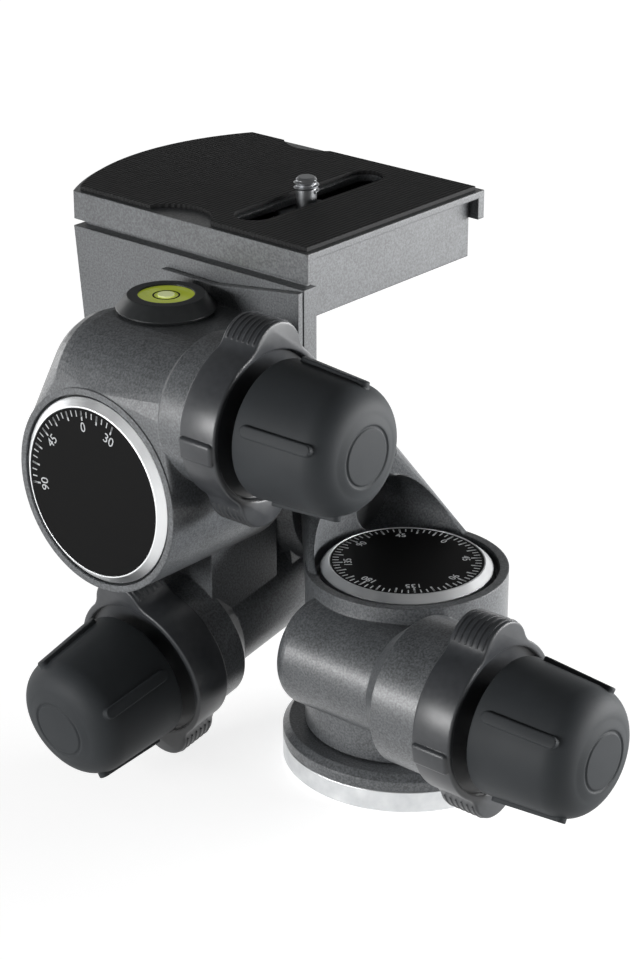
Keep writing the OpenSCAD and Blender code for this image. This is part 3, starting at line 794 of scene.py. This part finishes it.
def collar_slab():
    """The collar about Z, its middle at the origin and its pocket on top."""
    outline = collar_outline()
    mesh = bpy.data.meshes.new("collar")
    mesh.from_pydata([(x, y, -COLLAR_T / 2) for x, y in outline], [], [range(len(outline))])
    slab = bpy.data.objects.new("collar", mesh)
    bpy.context.collection.objects.link(slab)
    apply_modifier(slab, "SOLIDIFY", thickness=COLLAR_T, offset=1)
    pocket_z = COLLAR_T / 2 - POCKET_T
    cutter = turned_profile(
        [
            (0, -COLLAR_T), (EYE_R, -COLLAR_T), (EYE_R, pocket_z), (POCKET_R, pocket_z),
            (POCKET_R, COLLAR_T), (0, COLLAR_T),
        ],
        "cutter", steps=128, closed=True,
    )
    apply_modifier(slab, "BOOLEAN", operation="DIFFERENCE", object=cutter, solver="EXACT")
    bpy.data.objects.remove(cutter)
    apply_modifier(
        slab, "BEVEL", width=EDGE_R, segments=3, limit_method="ANGLE",
        angle_limit=math.radians(40),
    )
    return slab


# %% [markdown]
# The ends of the lobes carry fine ribs for the fingers, and one flank has a raised index bar.
# A rib is a thin torus round the lobe, cut with bisect where it would run into the collar,
# and copied along it. The collar's axis, middle and upper lobe are measured on its solid.

# %% Ribs, index bars and the three collars
RIBS, RIB_STEP, RIB_R, RIB_FROM = 6, 1.6 * MM, 0.25 * MM, 3.2 * MM
INDEX_W, INDEX_H, INDEX_X = 2.2 * MM, 5.5 * MM, -19.2 * MM
INDEX_TURN = math.radians(13)     # it stands a little off the middle of the flank


def lobe_rib():
    """One finger rib round the end of the upper lobe, from RIB_FROM above its middle."""
    deselect()
    bpy.ops.mesh.primitive_torus_add(
        major_radius=LOBE_R, minor_radius=RIB_R, major_segments=64, minor_segments=8,
        location=(0, LOBE_Y, 0),
    )
    rib = bpy.context.object
    settle(rib)
    bpy.ops.object.mode_set(mode="EDIT")
    bpy.ops.mesh.select_all(action="SELECT")
    bpy.ops.mesh.bisect(
        plane_co=(0, LOBE_Y + RIB_FROM, 0), plane_no=(0, 1, 0), clear_inner=True, use_fill=True
    )
    bpy.ops.object.mode_set(mode="OBJECT")
    return rib


def index_bar():
    """Raised bar on the collar's flank, its ends and edges rounded."""
    deselect()
    bpy.ops.mesh.primitive_cube_add(size=1, location=(0, 0, 0))
    bar = bpy.context.object
    bar.scale = (INDEX_W, INDEX_H, COLLAR_T - 0.6 * MM)
    settle(bar)
    apply_modifier(bar, "BEVEL", width=0.9 * MM, segments=4)
    bar.data.transform(Matrix.Rotation(INDEX_TURN, 4, "Z") @ Matrix.Translation((INDEX_X, 0, 0)))
    return bar


def collar_place(drive):
    """Matrix from the origin to a collar, with Z along the knob's axis and Y toward a lobe."""
    axis = knob_axis(drive)
    origin = Vector(joints[drive + "_knob_turn"]["pos_m"])
    points = [v.co - origin for v in frame["nodes"][drive + "_collar"].data.vertices]
    along = [p.dot(axis) for p in points]
    radial = [p - axis * t for p, t in zip(points, along)]
    reach = max(r.length for r in radial)
    tips = [r for r in radial if r.length > reach - 0.01 * MM]
    top = max(r.z for r in tips)
    upper = [r for r in tips if r.z > top - 2 * MM]
    y = sum(upper, Vector((0, 0, 0))).normalized()
    turn = Matrix((y.cross(axis), y, axis)).transposed().to_4x4()
    return Matrix.Translation(origin + axis * (min(along) + max(along)) / 2) @ turn


for drive in DRIVES:
    rows = [Matrix.Translation((0, 0, (i - (RIBS - 1) / 2) * RIB_STEP)) for i in range(RIBS)]
    lobes = [Matrix.Identity(4), Matrix.Rotation(math.pi, 4, "Z")]
    ribs = copies(lobe_rib(), [lobe @ row for lobe in lobes for row in rows])
    collar = join([collar_slab()] + ribs + [index_bar()], drive + "_winged_collar")
    collar.data.transform(collar_place(drive))
    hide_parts(drive + "_collar")
    dress(collar, collar_plastic, drive + "_release", smooth=35)

# %% [markdown]
# ## The camera screw
#
# The plate's stud is a 1/4 inch screw with 20 threads to the inch, held under the plate by a
# flat head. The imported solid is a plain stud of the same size, and this piece stands for it.
# Stacked rings would pass for a thread from afar, but a real one climbs, so it is made as a
# core turned as the knobs are, and a triangle that the Screw modifier winds round it, 1.27 mm
# higher with each turn.

# %% Camera screw with its thread
PITCH, CORE_R, CREST_R = 1.27 * MM, 2.6 * MM, 3.175 * MM
HEAD_T, HEAD_EDGE, TIP_EDGE = 3 * MM, 0.5 * MM, 0.6 * MM
THREAD_END, PLAIN_L = 0.9 * MM, 6.2 * MM     # bare tip, and the head with its bare neck


def thread_ridge(start, turns):
    """A closed triangular ridge wound round Z, its root a little inside the core."""
    deselect()
    bpy.ops.mesh.primitive_circle_add(
        vertices=3, radius=1, location=(0, 0, 0), rotation=(QUARTER, 0, 0)
    )
    ridge = bpy.context.object
    settle(ridge)
    root_r, half = CORE_R - 0.1 * MM, 0.45 * PITCH
    corners = ((CREST_R, 0), (root_r, -half), (root_r, half))
    for vertex, (x, z) in zip(ridge.data.vertices, corners):
        vertex.co = (x, 0, start + z)
    apply_modifier(
        ridge, "SCREW", axis="Z", angle=math.tau, screw_offset=PITCH, iterations=turns,
        steps=36, render_steps=36, use_merge_vertices=True,
    )
    bpy.ops.object.mode_set(mode="EDIT")
    bpy.ops.mesh.select_all(action="SELECT")
    bpy.ops.mesh.fill_holes(sides=0)
    bpy.ops.mesh.select_all(action="SELECT")
    bpy.ops.mesh.normals_make_consistent(inside=False)
    bpy.ops.object.mode_set(mode="OBJECT")
    return ridge


low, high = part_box("camera_screw")
head_r = (high.x - low.x) / 2
tall = high.z - low.z
core = turned_profile(
    [
        (0, 0), (head_r - HEAD_EDGE, 0), (head_r, HEAD_EDGE), (head_r, HEAD_T - HEAD_EDGE),
        (head_r - HEAD_EDGE, HEAD_T), (CORE_R, HEAD_T), (CORE_R, tall - TIP_EDGE),
        (CORE_R - TIP_EDGE, tall), (0, tall),
    ],
    "camera_screw_core", steps=48,
)
turns = int((tall - PLAIN_L) / PITCH) - 1
ridge = thread_ridge(tall - THREAD_END - turns * PITCH, turns)
screw = join([core, ridge], "threaded_camera_screw")
screw_axis = middle("camera_screw")
screw.data.transform(Matrix.Translation((screw_axis.x, screw_axis.y, low.z)))
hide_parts("camera_screw")
dress(screw, steel, "screw_carriage", smooth=35)

# %% [markdown]
# ## The level's mark
#
# A black ring printed on the lid shows where the bubble should stand. A flattened torus would
# have a round edge, so a thin rectangle is turned instead, with its lower half in the lid.

# %% Ring round the bubble
MARK_IN, MARK_OUT, MARK_T = 2.9 * MM, 3.3 * MM, 0.05 * MM
mark = turned_profile(
    [(MARK_IN, -MARK_T), (MARK_OUT, -MARK_T), (MARK_OUT, MARK_T), (MARK_IN, MARK_T)],
    "level_ring_mark", steps=64, closed=True,
)
vial = middle("level_vial")
mark.data.transform(Matrix.Translation((vial.x, vial.y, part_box("level_vial")[1].z)))
dress(mark, dial_black, "tilt_body")

# %% [markdown]
# ## Camera
#
# The camera has a long lens and looks from the right and a little above, as in the
# photograph. Its numbers come from the edges of the plate, the rings and the knobs, whose
# real sizes are known: a fit to many edges is closer than one by eye.

# %% Camera
AZIMUTH, ELEVATION, LENS = 40.70, 23.515, 97.505     # degrees, degrees, mm
bpy.ops.object.camera_add(
    location=(0.35198, -0.44121, 0.31879),
    rotation=(QUARTER - math.radians(ELEVATION), 0, math.radians(AZIMUTH)),
)
camera = bpy.context.object
camera.data.sensor_width = 36
camera.data.lens = LENS
scene = bpy.context.scene
scene.camera = camera
scene.view_settings.view_transform = "Standard"
print("camera", round(camera.data.lens, 1), "mm")

# %% [markdown]
# ## Floor, white studio and lamps
#
# The object stands on white paper in a white studio. Lamps high above would be the usual
# choice, but here all stand low, so that upright faces shine and tops stay dark: a long one
# behind on the right gives most of the light, a weaker one stands in front, and a faint one on
# the left. The paper and the world are white to what the camera and reflections see, and dim
# to everything else, so the background stays white without adding light. The paper glows a
# little less near the object, where its shadow lies. Above the horizon, reflections see the
# world darken, like a dark ceiling.

# %% Floor and world
AMBIENT = 0.09          # light that the world gives to surfaces
FLOOR_Z = -0.2 * MM     # just under the base, so that the two faces never coincide


def seen_directly(tree):
    """1 for rays of the camera, and of gloss or clear materials, and 0 for others."""
    ray = add(tree, "LightPath").outputs
    mirrored = add(
        tree, "Math", links={0: ray["Is Glossy Ray"], 1: ray["Is Transmission Ray"]},
        operation="MAXIMUM",
    ).outputs[0]
    return ray["Is Camera Ray"], mirrored


deselect()
bpy.ops.mesh.primitive_plane_add(size=8, location=(0, 0, FLOOR_Z))
floor = bpy.context.object
floor.name = "paper_floor"
paper, tree = new_material("white_paper")
by_camera, mirrored = seen_directly(tree)
either = add(tree, "Math", links={0: by_camera, 1: mirrored}, operation="MAXIMUM").outputs[0]
away = add(
    tree, "VectorMath", links={0: add(tree, "TexCoord").outputs["Object"]}, operation="LENGTH"
).outputs["Value"]
paper_glow = add(
    tree, "MapRange", {"From Min": 0.25, "From Max": 1.0, "To Min": 0.8, "To Max": 1.0},
    {"Value": away},
).outputs[0]
glow_strength = add(tree, "Math", links={0: either, 1: paper_glow}, operation="MULTIPLY").outputs[0]
matt = add(tree, "BsdfDiffuse", {"Color": linear("#b8b8b8")}).outputs[0]
glow = add(tree, "Emission", {"Color": (1, 1, 1, 1)}, {"Strength": glow_strength}).outputs[0]
both = add(tree, "AddShader", links={0: matt, 1: glow}).outputs[0]
add(tree, "OutputMaterial", links={"Surface": both})
floor.data.materials.append(paper)

world = bpy.data.worlds.new("white_studio")
scene.world = world
world.use_nodes = True
tree = world.node_tree
tree.nodes.clear()
by_camera, mirrored = seen_directly(tree)
rise = add(
    tree, "SeparateXYZ", links={0: add(tree, "TexCoord").outputs["Generated"]}
).outputs["Z"]
ceiling = add(
    tree, "MapRange", {"From Min": 0.05, "From Max": 0.35, "To Min": 1.0, "To Max": 0.16},
    {"Value": rise},
).outputs[0]
lit = add(tree, "Mix", {2: AMBIENT}, {0: mirrored, 3: ceiling}, data_type="FLOAT").outputs[0]
strength = add(tree, "Mix", {3: 1.0}, {0: by_camera, 2: lit}, data_type="FLOAT").outputs[0]
sky = add(tree, "Background", {"Color": (1, 1, 1, 1)}, {"Strength": strength}).outputs[0]
add(tree, "OutputWorld", links={"Surface": sky})
print("floor and world are white")

# %% Lamps
AIM = Vector((-0.02, -0.01, 0.07))     # the middle of the object


def soft_lamp(name, direction, distance, width, height, level):
    """Area lamp aimed at AIM. level is the brightness of a white card that faces it there."""
    toward = Vector(direction).normalized()
    data = bpy.data.lights.new(name, "AREA")
    data.shape = "RECTANGLE"
    data.size = width
    data.size_y = height
    data.energy = level * (math.pi * distance) ** 2
    lamp = bpy.data.objects.new(name, data)
    lamp.location = AIM + toward * distance
    lamp.rotation_euler = toward.to_track_quat("Z", "Y").to_euler()
    bpy.context.collection.objects.link(lamp)
    print(name, "lamp at", [round(c, 2) for c in lamp.location], "m")


soft_lamp("key_right_back", (0.68, 0.70, 0.10), distance=0.75, width=0.7, height=0.14, level=1.9)
soft_lamp("front", (-0.30, -0.94, 0.10), distance=0.8, width=0.45, height=0.2, level=0.85)
soft_lamp("left", (-0.99, -0.10, 0.10), distance=1.0, width=0.5, height=0.3, level=0.15)
